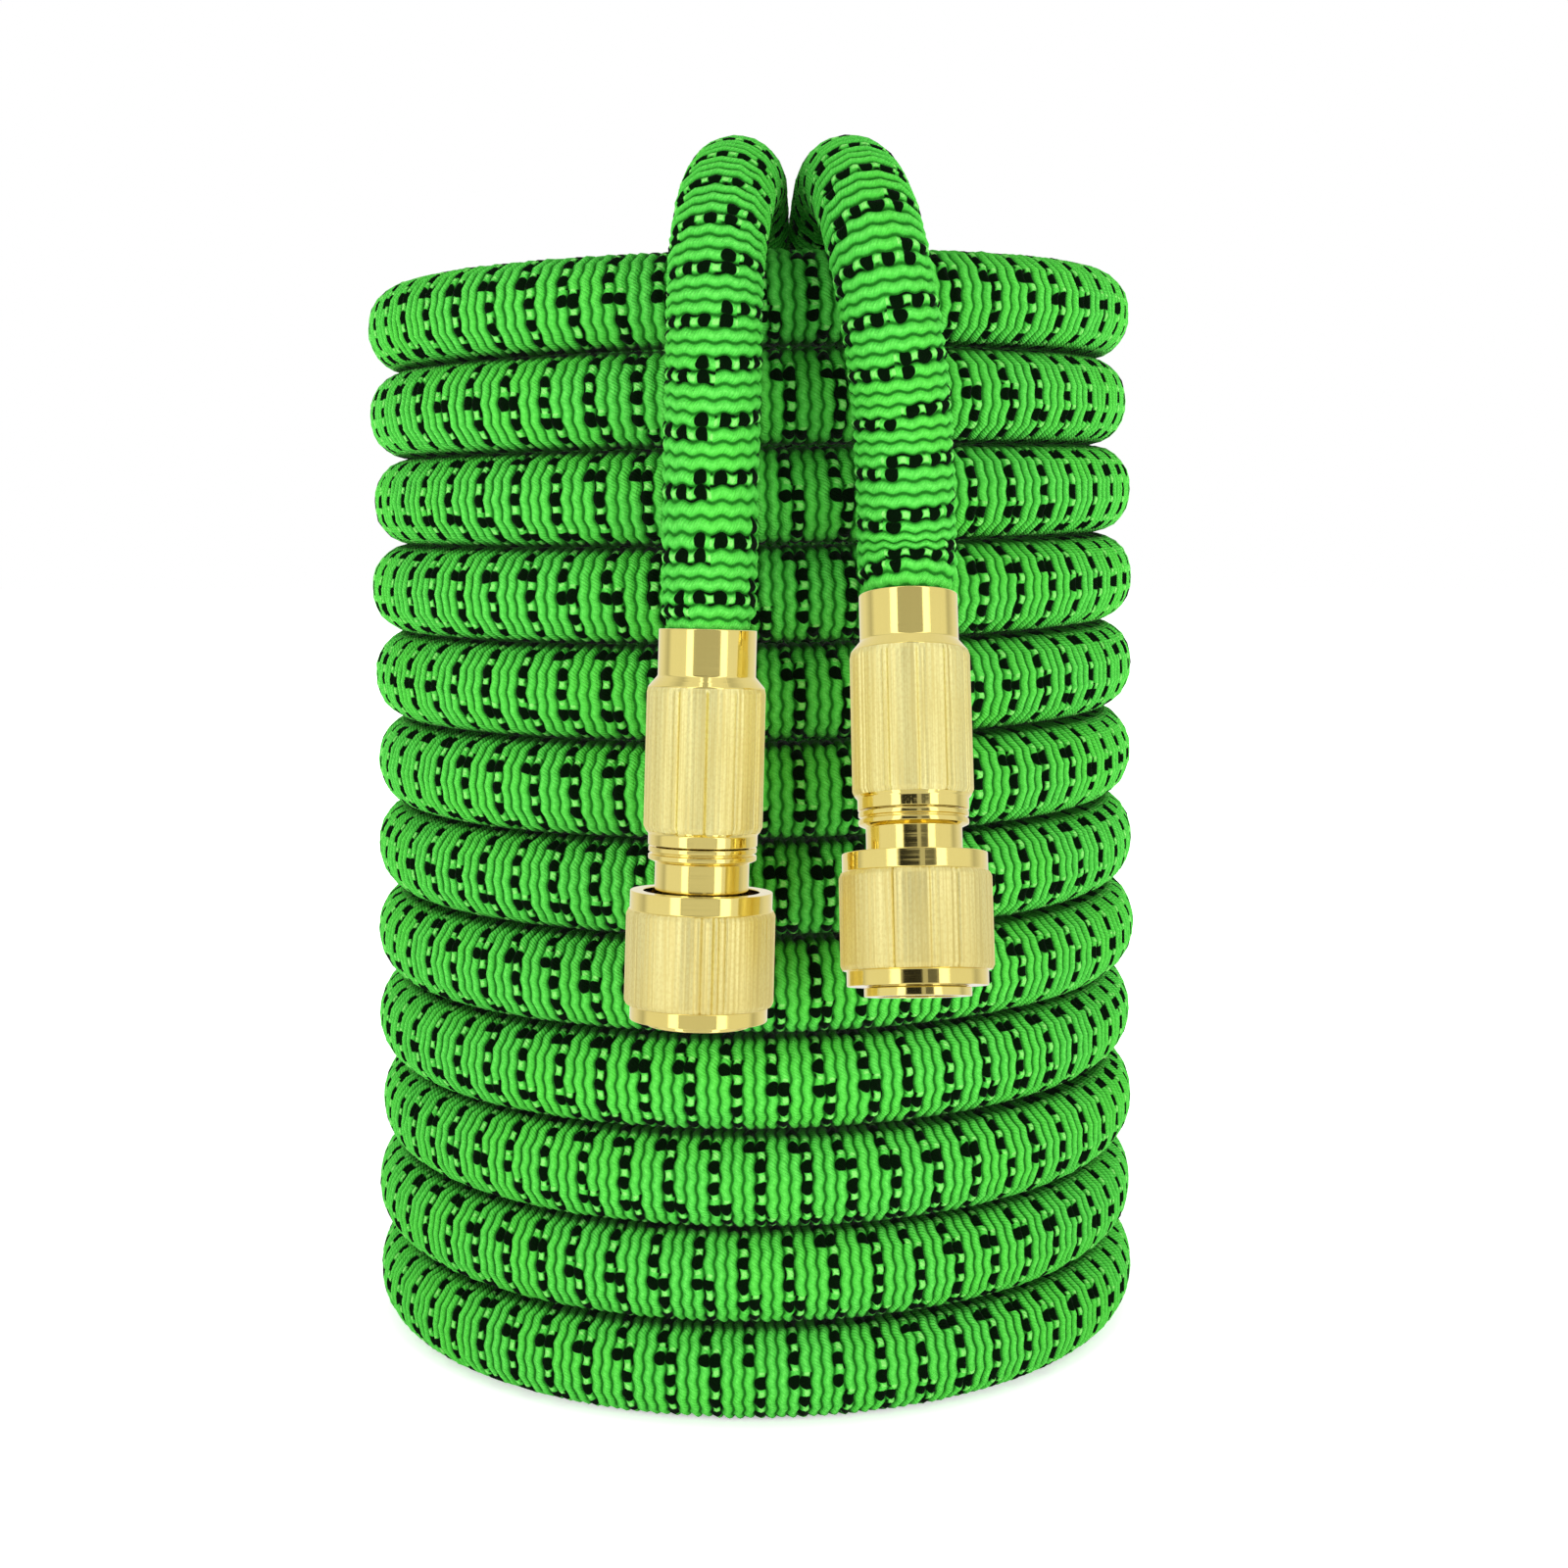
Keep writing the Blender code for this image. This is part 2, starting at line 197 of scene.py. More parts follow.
WATERWAY_RADIUS = 0.0045
NUT_LENGTH = FERRULE_LENGTH + SHOULDER_LENGTH + NUT_GRIP_LENGTH + NUT_BAND_LENGTH
NECK_START = NUT_LENGTH + SEAT_GAP + 2 * BODY_BAND_LENGTH + GROOVE_LENGTH
COLLAR_LENGTH = RIM_LENGTH + GRIP_LENGTH + FOOT_LENGTH
LEFT_LENGTHS = (0.0063, 0.0008)     # bare neck above the collar, nose below it
RIGHT_LENGTHS = (0.0056, 0.0017)
PLAIN_SIDES = 96
CORNER_RADIUS = 0.0002
CORNER_SHARE = 0.4              # of an edge that a rounded corner takes, at most
CORNER_STEPS = 4
SHARP_ANGLE = math.radians(42)  # edges from here on are drawn sharp

# Ends of a fluted grip, turned down to a bevel
BEVEL_DEPTH = 0.0004
BEVEL_START = 0.0002            # from the grip's end
BEVEL_END = 0.0010
SHOULDER_RISE = 0.0003          # the nut's grip runs on into its shoulder
SHOULDER_BEVEL = 0.0008
BAND_STEP = 0.0006              # length of the cone from the nut's grip to its band
CUT_REACH = 0.00045             # the flutes cut what lies this close under the grip's radius
HAIR = 1e-6                     # by which a height may be off where two are compared
FINISH_EDGE = 0.0002            # above the next part's radius, where the grip's finish starts

# Flutes of a grip
FLUTE_PITCH = 0.00118
FLUTE_DEPTH = 0.00017
FLUTE_DEPTHS = (0.2, 0.7)       # least and most, as shares of FLUTE_DEPTH
FLUTE_WIDTHS = (0.20, 0.34)     # half of a groove's, as shares of the pitch
FLUTE_SHIFT = 0.08              # by which a groove may be out of place, in pitches
LAND_CUT = 0.05                 # at the groove's edges, as a share of its depth
GROUP_DEPTH = 3.4               # of the deeper grooves, in depths of the others
FACETS = 12                     # shallow waves round the grip, under its flutes
FACET_DEPTH = 0.00013
# Deeper grooves lie from one of these angles to the next, in degrees right of the front
NUT_GROUPS = ((-64, -56), (-34, -27), (-4, 3), (26, 34), (56, 64))
LEFT_GROUPS = ((-6, 19),)
RIGHT_GROUPS = ((-30, -22), (3, 13), (21, 29))

# Brass
POLISHED_COLOUR = (0.88, 0.73, 0.24, 1)
NUT_COLOUR = (1.0, 0.93, 0.435, 1)
COLLAR_COLOUR = (0.95, 0.86, 0.385, 1)
BRASS_SHADE = (0.84, 0.77, 0.62)    # of the streaks, as a share of the colour
BRASS_BUMP = 0.00004

# Camera, from the photograph's perspective
CAMERA_DISTANCE = 0.5703        # from the coil's axis
CAMERA_HEIGHT = 0.1962
CAMERA_PITCH = 0.0422
CAMERA_SENSOR = 36              # mm
CAMERA_LENS = 53.81
CAMERA_SHIFT = (0.0185, -0.125)

# Light.  The tent is seen in the metal: degrees from the camera's side, level
TENT = ((0, 0.52), (31, 0.52), (33, 2.0), (48, 2.0), (50, 0.90), (92, 0.90), (104, 0.55),
        (125, 0.85), (180, 0.9))
STRIP_LEVEL = 2.0
LOW_LIFT = 0.20                 # of the middle, below eye level
LOW_HEIGHTS = (-0.03, 0.05)     # heights are those of a direction one unit long
# A dark shape in the middle of the tent, with a light gap in it
SHAPE_DARKNESS = 0.96
SHAPE_SIDES = (28.0, 31.0)      # each edge is soft, from the first value to the second
SHAPE_FOOT = (0.15, 0.20)
SHAPE_TOP = (0.340, 0.356)
GAP_LEFT = (3.0, 5.0)
GAP_RIGHT = (12.0, 14.0)
BESIDE_GAP = (13.0, 15.0)       # to the right of it the shape is less dark
BESIDE_LIGHT = 0.25
FILL_LEVEL = 0.30               # on what isn't metal
FILL_RISE = 1.5                 # from above, in fill levels
LIGHT_AIM = (0, 0, 0.12)
LIGHTS = (                      # name, place from the coil's foot, side, watts
    ("key_left", (-0.90, -1.15, 0.35), 0.8, 15),
    ("key_right", (0.90, -1.15, 0.35), 0.8, 16.5),
    ("top", (0, -0.3, 1.8), 2.0, 12),
    ("back_left", (-1.1, 0.9, 0.45), 0.8, 9),
    ("back_right", (1.1, 0.9, 0.45), 0.8, 9),
)

# Floor
FLOOR_FRONT = -0.8
FLOOR_REACH = 4.0               # to the sides and to the back
FLOOR_TILE = 0.1
FLOOR_COLOUR = (0.92, 0.92, 0.92, 1)
FLOOR_GLOW = (0.45, 1.05)       # near the coil and far from it
GLOW_REACH = (0.12, 0.45)

draw = np.random.default_rng(SEED)


def coil_centre():
    """The coil's axis, where it meets the floor."""
    low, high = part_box("hose_coil")
    return Vector(((low[0] + high[0]) / 2, (low[1] + high[1]) / 2, 0))


AXIS = coil_centre()


# Helpers

def placed(place, turn):
    """A fitting's pose."""
    return Matrix.Translation(place) @ Euler(turn).to_matrix().to_4x4()


def linked(name, data):
    """A new object in the scene."""
    made = bpy.data.objects.new(name, data)
    bpy.context.scene.collection.objects.link(made)
    return made


def grid(rows, columns):
    """The row and the column of every cell of a grid, row after row."""
    row, column = np.meshgrid(np.arange(rows), np.arange(columns), indexing="ij")
    return row.ravel(), column.ravel()


def add_map(mesh, name, across, up):
    """A UV map from the two coordinates of each face's corners."""
    layer = mesh.uv_layers.new(name=name)
    layer.data.foreach_set("uv", np.stack([across, up], axis=2).astype(np.float32).ravel())


# Route

def eased(value):
    """0 below 0, 1 above 1 and a smooth change between them."""
    value = np.clip(value, 0, 1)
    return value * value * (3 - 2 * value)


def round_coil(degrees, radius, height):
    """A point by its angle round the coil."""
    angle = math.radians(degrees)
    return (radius * math.cos(angle), radius * math.sin(angle), height)


def coil_point(degrees):
    """Middle of the hose where it has been wound on to this angle, which falls as it goes."""
    inward = COIL_RADIUS - LANE_RADIUS
    last = LEAVE_START - 360 * TURNS
    joined = eased((MERGE_START - degrees) / (MERGE_START - MERGE_END))
    left = eased((last - degrees) / (LEAVE_START - LEAVE_END))
    steps = sum(eased((STEP_START - 360 * turn - degrees) / (STEP_START - STEP_END))
                for turn in range(1, TURNS))
    height = LANE_HEIGHT + (HOSE_RADIUS - LANE_HEIGHT) * joined + steps * HOSE_DIAMETER
    return round_coil(degrees, LANE_RADIUS + inward * (joined - left), height)


def nut_points(pose):
    """The hose's straight start, from inside its nut to just above it."""
    return [pose @ Vector((0, 0, z)) for z in (-HOSE_ENTRY, -HOSE_ENTRY / 2, 0, HOSE_RADIUS)]


def smooth_curve(points):
    """Points close together on a curve that bends evenly through the given ones."""
    points = np.array([tuple(point) for point in points])
    spans = np.linalg.norm(np.diff(points, axis=0), axis=1)
    count = len(points)
    system = np.eye(count)
    pull = np.zeros((count, 3))
    for i in range(1, count - 1):
        system[i, i - 1:i + 2] = (spans[i - 1], 2 * (spans[i - 1] + spans[i]), spans[i])
        pull[i] = 6 * ((points[i + 1] - points[i]) / spans[i]
                       - (points[i] - points[i - 1]) / spans[i - 1])
    bend = np.linalg.solve(system, pull)
    dense = [points[0]]
    for i, span in enumerate(spans):
        for t in np.linspace(0, 1, CURVE_SAMPLES + 1)[1:]:
            s = 1 - t
            dense.append(s * points[i] + t * points[i + 1]
                         + span ** 2 / 6 * ((s ** 3 - s) * bend[i] + (t ** 3 - t) * bend[i + 1]))
    return np.array(dense)


def settled(point):
    """A point of the coil, moved as the real stack leans and wanders."""
    x, y, z = point
    share = z / (TURNS * HOSE_DIAMETER)
    angle = math.atan2(y, x)
    turn = z / HOSE_DIAMETER
    # Two uneven waves, so that no turn lies like the next one
    out = TURN_WANDER * (math.sin(1.7 * turn + 2 * angle) + math.sin(2.9 * turn - angle))
    swell = 1 + out / COIL_RADIUS
    lean = STACK_LEAN * (z - TOP_TURN / 2)
    return (x * swell + lean * share, y * swell, z + TOP_TILT * share * x / COIL_RADIUS)


def hose_route(left_pose, right_pose):
    """The whole middle line, and where on it the coil starts and ends."""
    left = nut_points(left_pose) + list(LEFT_ARCH)
    left += [round_coil(degrees, LANE_RADIUS, height) for degrees, height in LEFT_LANDING]
    left += [round_coil(degrees, LANE_RADIUS, LANE_HEIGHT) for degrees in LEFT_LANE]
    end = LEAVE_END - 360 * TURNS
    turns = np.arange(LEFT_LANE[-1] - COIL_STEP, end - COIL_STEP / 2, -COIL_STEP)
    coil = [settled(coil_point(degrees)) for degrees in turns]
    right = list(RIGHT_ARCH) + nut_points(right_pose)[::-1]
    dense = smooth_curve(left + coil + right)
    along = np.concatenate([[0], np.cumsum(np.linalg.norm(np.diff(dense, axis=0), axis=1))])
    coil_start = along[len(left) * CURVE_SAMPLES]
    coil_end = along[(len(left) + len(coil) - 1) * CURVE_SAMPLES]
    return dense, along, coil_start, coil_end


# Jacket's mesh

def rib_edges(length, coil_start, coil_end):
    """Where each rib starts along the hose, with whole rows of blocks from end to end."""
    stops = [*LEFT_PITCHES, (coil_start, LOW_PITCH), (coil_end, HIGH_PITCH),
             *((length - place, pitch) for place, pitch in RIGHT_PITCHES)]
    places, pitches = zip(*stops)
    fine = np.arange(0, length, PITCH_STEP)
    ribs = np.concatenate([[0], np.cumsum(PITCH_STEP / np.interp(fine, places, pitches))])
    whole = np.arange(int(ribs[-1]) // BAND_RIBS * BAND_RIBS + 1)
    edges = np.interp(whole * ribs[-1] / whole[-1], ribs, np.append(fine, length))
    slack = np.diff(edges, append=length).min() * PITCH_SLACK
    edges[1:-1] += draw.uniform(-slack, slack, len(edges) - 2)
    return edges


def carried(side, tangents):
    """A side vector carried along the tangents without twisting."""
    found = [side]
    for before, after in zip(tangents, tangents[1:]):
        turn = Vector(before).rotation_difference(Vector(after))
        found.append(turn @ Vector(found[-1]))
    return np.array([tuple(v) for v in found])


def section_sides(tangents, where, coil_start, coil_end):
    """For each ring, the direction of its section that is level on the coil."""
    sides = np.cross(tangents, (0, 0, 1))
    first = int(np.searchsorted(where, coil_start))
    last = int(np.searchsorted(where, coil_end)) - 1
    sides[first:last + 1] /= np.linalg.norm(sides[first:last + 1], axis=1)[:, None]
    sides[:first + 1] = carried(sides[first], tangents[:first + 1][::-1])[::-1]
    sides[last:] = carried(sides[last], tangents[last:])
    return sides


def hose_radius(where, length, coil_start, coil_end):
    """The jacket's radius at its ribs' crests.  The hanging ends are stretched thinner."""
    neck = NECK_DIAMETER / HOSE_DIAMETER
    nut_end = HOSE_ENTRY + SEAT_GAP
    free = nut_end + NECK_TAPER
    hangs, thickness = RIGHT_THICKENS
    stops = (
        (0, neck), (nut_end, neck), (free, LEFT_THICKNESS),
        (LEFT_THICKENS[0], LEFT_THICKNESS), (LEFT_THICKENS[1], 1),
        (coil_start, 1), (coil_end, 1), (length - hangs, thickness),
        (length - free, RIGHT_THICKNESS), (length - nut_end, neck), (length, neck),
    )
    places, shares = zip(*stops)
    return HOSE_RADIUS * np.interp(where, places, shares)


def path_at(where, dense, along):
    """The middle line's points and directions at the given places along it."""
    slope = np.gradient(dense, axis=0)
    slope /= np.linalg.norm(slope, axis=1)[:, None]
    middle = np.stack([np.interp(where, along, dense[:, k]) for k in range(3)], axis=1)
    tangents = np.stack([np.interp(where, along, slope[:, k]) for k in range(3)], axis=1)
    tangents /= np.linalg.norm(tangents, axis=1)[:, None]
    return middle, tangents


def jacket_rings(dense, along, coil_start, coil_end):
    """Ring by ring: the rib coordinate, its place, the middle and the points round the hose."""
    length = along[-1]
    edges = rib_edges(length, coil_start, coil_end)
    ribs = len(edges) - 1
    places, heights = (np.array(column) for column in zip(*RIB_PROFILE))
    count = np.arange(ribs * len(places) + 1)
    rib = count // len(places)
    in_rib = count % len(places)
    u = rib + places[in_rib]
    pitch = np.append(np.diff(edges), edges[-1] - edges[-2])
    where = edges[rib] + places[in_rib] * pitch[rib]
    middle, tangents = path_at(where, dense, along)
    side = section_sides(tangents, where, coil_start, coil_end)
    up = np.cross(side, tangents)

    depth = RIB_DEPTH * draw.uniform(*RIB_DEPTHS, ribs + 1)[rib]
    radius = hose_radius(where, length, coil_start, coil_end) + depth * heights[in_rib]
    angle = np.arange(SIDES) * math.tau / SIDES
    cosine, sine = np.cos(angle), np.sin(angle)
    coiled = eased((where - coil_start) / COIL_EASE) * eased((coil_end - where) / COIL_EASE)
    power = 2 + (SQUARENESS - 2) * coiled[:, None]
    form = (np.abs(cosine) ** power + np.abs(sine) ** power) ** (-1 / power)
    puff = draw.normal(0, RIB_PUFF, (ribs + 1, SIDES))[rib]
    reach = radius[:, None] * form + puff

    # Corners lie ahead of the rib and behind it by turns, which makes its wave
    sway = np.where(np.arange(SIDES) % 2 == 0, 1.0, -1.0)
    swing = RIB_WAVE * draw.uniform(*RIB_WAVES, (ribs + 1, SIDES))
    swing[:-1] = (swing[:-1] + swing[1:]) / 2
    shift = (swing[rib] * pitch[rib][:, None]) * sway
    points = (middle[:, None, :]
              + reach[:, :, None] * (cosine[None, :, None] * side[:, None, :]
                                     + sine[None, :, None] * up[:, None, :])
              + shift[:, :, None] * tangents[:, None, :])
    points[:, :, 2] = np.maximum(points[:, :, 2], FLOOR_GAP)
    return u, where, middle, points


def jacket_piece(name, u, points):
    """A tube through rings of points, with the weave's coordinates on it."""
    rings = len(u)
    mesh = bpy.data.meshes.new(name)
    vertices = points.reshape(-1, 3)
    ring, side = grid(rings - 1, SIDES)
    beside = (side + 1) % SIDES
    quads = np.stack([ring * SIDES + side, ring * SIDES + beside,
                      (ring + 1) * SIDES + beside, (ring + 1) * SIDES + side], axis=1)
    mesh.vertices.add(len(vertices))
    mesh.vertices.foreach_set("co", vertices.astype(np.float32).ravel())
    mesh.loops.add(quads.size)
    mesh.loops.foreach_set("vertex_index", quads.astype(np.int32).ravel())
    mesh.polygons.add(len(quads))
    mesh.polygons.foreach_set("loop_start", np.arange(0, quads.size, 4, dtype=np.int32))
    mesh.update(calc_edges=True)
    across = np.stack([side, side + 1, side + 1, side], axis=1) / 2
    lengthwise = np.stack([u[ring], u[ring], u[ring + 1], u[ring + 1]], axis=1)
    add_map(mesh, "weave", lengthwise, across)
    pack_rows(mesh, ring, side, rings)
    mesh.shade_smooth()
    mesh.validate()
    return linked(name, mesh)


def pack_rows(mesh, ring, side, rings):
    """A second map that lays the long strip out in rows which fill a square."""
    ring_share = 0.5 / SIDES * 0.95     # of a row's height, so that the faces come out square
    margin = 0.004                      # between two rows
    rows = max(1, round(math.sqrt((rings - 1) * ring_share)))
    in_row = math.ceil((rings - 1) / rows)
    row = ring // in_row
    start = (ring - row * in_row) / in_row
    step = 1 / in_row
    height = 1 / rows - margin
    low = row / rows + margin / 2 + side / SIDES * height
    high = row / rows + margin / 2 + (side + 1) / SIDES * height
    across = np.stack([low, high, high, low], axis=1)
    lengthwise = np.stack([start, start, start + step, start + step], axis=1)
    add_map(mesh, "OFBake", lengthwise, across)


# Materials

class Nodes:
    """A node tree, built from short calls that return the new node's output."""

    def __init__(self, tree):
        self.tree = tree

    def add(self, kind, **settings):
        node = self.tree.nodes.new(kind)
        for key, value in settings.items():
            setattr(node, key, value)
        return node

    def feed(self, socket, value):
        """Links an output to the socket, or sets a plain value on it."""
        if isinstance(value, bpy.types.NodeSocket):
            self.tree.links.new(value, socket)
        else:
            socket.default_value = value

    def math(self, operation, *values):
        node = self.add("ShaderNodeMath", operation=operation)
        for socket, value in zip(node.inputs, values):
            self.feed(socket, value)
        return node.outputs[0]

    def plus(self, first, second):
        return self.math("ADD", first, second)

    def minus(self, first, second):
        return self.math("SUBTRACT", first, second)

    def times(self, first, second):
        return self.math("MULTIPLY", first, second)

    def span(self, value, low, high, to_low=0.0, to_high=1.0):
        """value from low to high, eased, as to_low to to_high."""
        node = self.add("ShaderNodeMapRange", interpolation_type="SMOOTHSTEP")
        for socket, given in zip(node.inputs, (value, low, high, to_low, to_high)):
            self.feed(socket, given)
        return node.outputs[0]

    def mix(self, share, first, second):
        node = self.add("ShaderNodeMix", data_type="RGBA")
        self.feed(node.inputs["Factor"], share)
        self.feed(node.inputs["A"], first)
        self.feed(node.inputs["B"], second)
        return node.outputs["Result"]

    def noise(self, vector, detail=2.0, roughness=0.5):
        node = self.add("ShaderNodeTexNoise")
        self.feed(node.inputs["Vector"], vector)
        for key, value in (("Scale", 1.0), ("Detail", detail), ("Roughness", roughness)):
            node.inputs[key].default_value = value
        return node.outputs["Fac"]

    def vector(self, x, y, z=0.0):
        node = self.add("ShaderNodeCombineXYZ")
        for socket, value in zip(node.inputs, (x, y, z)):
            self.feed(socket, value)
        return node.outputs[0]

    def map(self, name):
        """The two coordinates of a UV map."""
        node = self.add("ShaderNodeUVMap", uv_map=name)
        parts = self.add("ShaderNodeSeparateXYZ")
        self.tree.links.new(node.outputs[0], parts.inputs[0])
        return parts.outputs[0], parts.outputs[1]


class Surface(Nodes):
    """A material with its principled shader."""

    def __init__(self, name):
        self.material = bpy.data.materials.new(name)
        self.material.use_nodes = True
        super().__init__(self.material.node_tree)
        self.shader = self.tree.nodes["Principled BSDF"]

    def bump(self, height, distance):
        node = self.add("ShaderNodeBump")
        node.inputs["Strength"].default_value = 1.0
        node.inputs["Distance"].default_value = distance
        self.feed(node.inputs["Height"], height)
        self.feed(self.shader.inputs["Normal"], node.outputs[0])


class Weave(Surface):
    """The jacket's material, on a map whose u counts ribs and whose v counts waves."""

    def __init__(self, name):
        super().__init__(name)
        along, self.v = self.map("weave")
        turn = self.times(self.v, math.tau / WAVES)
        reach = WAVES / math.tau
        self.ring_x = self.times(self.math("COSINE", turn), reach)
        self.ring_y = self.times(self.math("SINE", turn), reach)
        self.u = self.smoothed(along)
        # Blocks aren't in line: each lies up to a quarter of a wave to one side
        wander = self.times(self.minus(self.cloud(0.80, 0.45), 0.5), 0.50)
        self.v_moved = self.plus(self.v, wander)
        self.rib = self.math("FLOOR", self.u)
        self.column = self.math("FLOOR", self.plus(self.v_moved, 0.5))
        self.in_wave = self.math("ABSOLUTE", self.minus(self.v_moved, self.column))
        self.in_rib = self.math("ABSOLUTE", self.minus(self.math("FRACT", self.u), 0.5))
        self.fibres = self.cloud(4.0, 7.0, 3.0, 0.6)

    def smoothed(self, along):
        """The mesh has each wave as a zigzag.  This draws it as a smooth line."""
        from_crest = self.math("ABSOLUTE", self.minus(self.v, self.math("ROUND", self.v)))
        zigzag = self.minus(1.0, self.times(from_crest, 4.0))
        smooth = self.times(self.math("COSINE", self.times(self.v, math.tau)), WAVE_ROUNDING)
        return self.plus(along, self.times(self.minus(zigzag, smooth), RIB_WAVE))

    def cloud(self, round_scale, long_scale, detail=2.0, roughness=0.5):
        """Noise with its grain given per wave round the hose and per rib along it."""
        return self.noise(self.vector(self.times(self.ring_x, round_scale),
                                      self.times(self.ring_y, round_scale),
                                      self.times(self.u, long_scale)), detail, roughness)

    def rows(self):
        """Where a row of black blocks runs, and where any rib has them.

        Where a row moves on by a rib, both ribs have a block.
        """
        # The places where rows move on drift round the hose, now faster, now slower
        slow = self.noise(self.vector(self.times(self.rib, 0.03), 5.0))
        drift = self.plus(self.times(self.rib, ROW_DRIFT), self.times(slow, 3.0))
        seam = self.math("DIVIDE", self.plus(self.column, drift), WAVES / ROW_SHIFTS)
        place = self.math("MODULO", self.plus(self.rib, self.math("FLOOR", seam)),
                          float(BAND_RIBS))
        in_row = self.math("LESS_THAN", place, 0.5)
        at_seam = self.math("LESS_THAN", self.math("FRACT", seam), ROW_SHIFTS / WAVES - 0.01)
        doubled = self.times(self.math("COMPARE", place, 1.0, 0.5), at_seam)
        return in_row, self.math("MAXIMUM", in_row, doubled)

    def blocks(self, black_rib):
        """Black blocks with round corners, one to each wave."""
        half_width = self.span(self.cloud(1.0, 0.40), 0.33, 0.67, *BLOCK_WIDTHS)
        form = self.plus(
            self.math("POWER", self.math("DIVIDE", self.in_wave, half_width), 3.0),
            self.math("POWER", self.math("DIVIDE", self.in_rib, BLOCK_LENGTH), 3.0))
        return self.times(black_rib, self.span(form, 0.70, 1.20, 1.0, 0.0))

    def yarn(self, in_row):
        """Green ribs with light stitches between the blocks, and dark lines beside them, with a
        painted highlight on each crest and painted shade in each valley.
        """
        strokes = self.plus(self.times(self.v_moved, 3.0), self.times(self.u, 0.8))
        strokes = self.math("SINE", self.times(strokes, math.tau))
        # Painted highlight on each rib's crest, broken up by the yarn's fibres and twist
        crest = self.times(self.span(self.in_rib, 0.03, 0.33, 1.0, 0.0),
                           self.times(self.span(self.fibres, 0.30, 0.66, 0.40, 1.0),
                                      self.span(strokes, -1.0, 0.4, 0.55, 1.0)))
        green = self.mix(crest, RIB_GREEN, CREST_HIGHLIGHT_GREEN)
        cloudy = self.span(self.cloud(0.30, 0.12), 0.35, 0.75, 0.0, 0.30)
        green = self.mix(cloudy, green, CLOUD_GREEN)
        stitch = self.times(in_row, self.times(self.span(self.in_rib, 0.14, 0.30, 1.0, 0.0),
                                               self.span(self.in_wave, 0.32, 0.42)))
        green = self.mix(self.times(stitch, 0.55), green, STITCH_GREEN)
        line = self.times(in_row, self.span(self.cloud(1.3, 0.9), 0.42, 0.56))
        # Painted shade in the valleys between ribs
        green = self.mix(self.span(self.in_rib, 0.28, 0.45), green, VALLEY_SHADE_GREEN)
        return self.mix(self.times(line, self.span(self.in_rib, 0.22, 0.36)), green, BLACK)

    def painted_shade_between_turns(self, top_turn):
        """Painted shade where turns touch: above and below, but not on the top turn."""
        half = self.math("FRACT", self.math("DIVIDE", self.v, WAVES / 2))
        touching = self.times(self.math("ABSOLUTE", self.minus(half, 0.5)), WAVES / 2)
        touching = self.plus(touching, self.times(self.minus(self.fibres, 0.5), 0.5))
        free = self.times(self.span(self.u, top_turn - BAND_RIBS, top_turn + BAND_RIBS),
                          self.math("LESS_THAN", self.v, WAVES / 2))
        return self.times(self.span(touching, *GAP_SHADE, GAP_DARKNESS, 0.0),
                          self.minus(1.0, free))


def jacket_material(name, top_turn=None):
    """Wavy green ribs, and rows of black blocks that move on by a rib now and then.

    On the coil, shade is painted where turns touch; top_turn is the rib where its top turn starts.
    """
    n = Weave(name)
    in_row, black_rib = n.rows()
    block = n.blocks(black_rib)
    colour = n.mix(block, n.yarn(in_row), BLACK)
    if top_turn is not None:
        # Painted shade where the coil's turns touch
        colour = n.mix(n.painted_shade_between_turns(top_turn), colour, BLACK)
    n.feed(n.shader.inputs["Base Color"], colour)
    n.feed(n.shader.inputs["Roughness"], n.span(n.fibres, 0.2, 0.8, 0.65, 0.85))
    n.shader.inputs["Specular IOR Level"].default_value = 0.02
    twist = n.plus(n.times(n.v, 6.0), n.times(n.u, 2.0))
    twist = n.math("SINE", n.times(twist, math.tau))
    height = n.plus(n.times(twist, 0.25), n.fibres)
    n.bump(n.minus(height, n.times(block, 0.3)), FIBRE_BUMP)
    return n.material


def brass_material(name, colour, roughness, streak, lathe):
    """Brass with fine streaks along the fitting or turning marks round it.

    Its map is in metres, u round the fitting and v along its outline, so that the
    scales of its marks are counts for each metre.
    """
    n = Surface(name)
    u, v = n.map("turned")

    def marks_of(round_scale, long_scale, detail):
        return n.noise(n.vector(n.times(u, round_scale), n.times(v, long_scale)), detail)

    streaks = marks_of(2200.0, 30.0, 3.0)
    turning = marks_of(3.0, 900.0, 2.0)
    stain = marks_of(14.0, 30.0, 4.0)
    grain = marks_of(1900.0, 1300.0, 2.0)
    darker = tuple(c * s for c, s in zip(colour, BRASS_SHADE)) + (1,)
    tone = n.mix(n.span(stain, 0.35, 0.75, 0.0, 0.35), colour, darker)
    tone = n.mix(n.span(streaks, 0.40, 0.62, 0.0, streak), tone, darker)
    tone = n.mix(n.span(grain, 0.44, 0.62, 0.0, streak * 0.6), tone, darker)
    n.feed(n.shader.inputs["Base Color"], tone)
    n.shader.inputs["Metallic"].default_value = 1.0
    rough = n.plus(n.span(stain, 0.3, 0.7, roughness * 0.85, roughness * 1.2),
                   n.times(streaks, roughness * 0.3))
    n.feed(n.shader.inputs["Roughness"], rough)
    height = n.plus(n.times(streaks, streak), n.times(turning, lathe))
    n.bump(n.plus(height, n.times(grain, streak * 0.5)), BRASS_BUMP)
    return n.material


# Fittings

